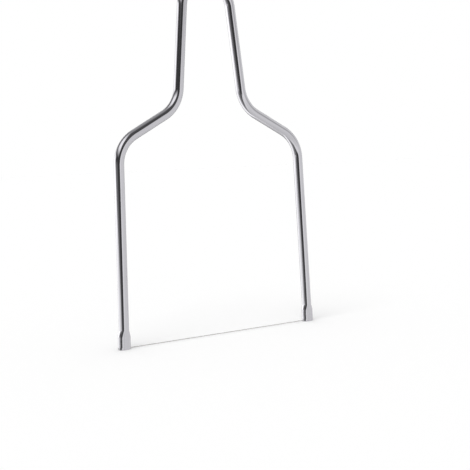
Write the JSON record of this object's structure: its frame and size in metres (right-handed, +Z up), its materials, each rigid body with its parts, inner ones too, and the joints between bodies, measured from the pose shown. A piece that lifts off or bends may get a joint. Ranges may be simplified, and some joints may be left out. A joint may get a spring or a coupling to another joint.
{
  "type": "wire cheese slicer",
  "caption": "Wire cheese slicer: a bow bent from round polished steel rod, with flattened feet and a thin steel wire strung taut between them.",
  "frame": {"origin": "midway between the two feet, in the plane of the rod's centre line, at the height of the feet's cut ends", "axes": "+X along the cutting wire towards the right foot, +Y towards the back, +Z up from the feet to the crown of the handle"},
  "size_m": [0.1166, 0.005, 0.1835],
  "materials": {
    "polished_rod": "mirror-polished stainless steel rod",
    "drawn_wire": "bright drawn stainless steel wire",
    "crimp_sleeve": "plain turned steel with crimp marks"
  },
  "bodies": {
    "root": {"bow_frame": "polished_rod", "cutting_wire": "drawn_wire", "left_wire_stop": "crimp_sleeve", "right_wire_stop": "crimp_sleeve"}
  },
  "joints": []
}
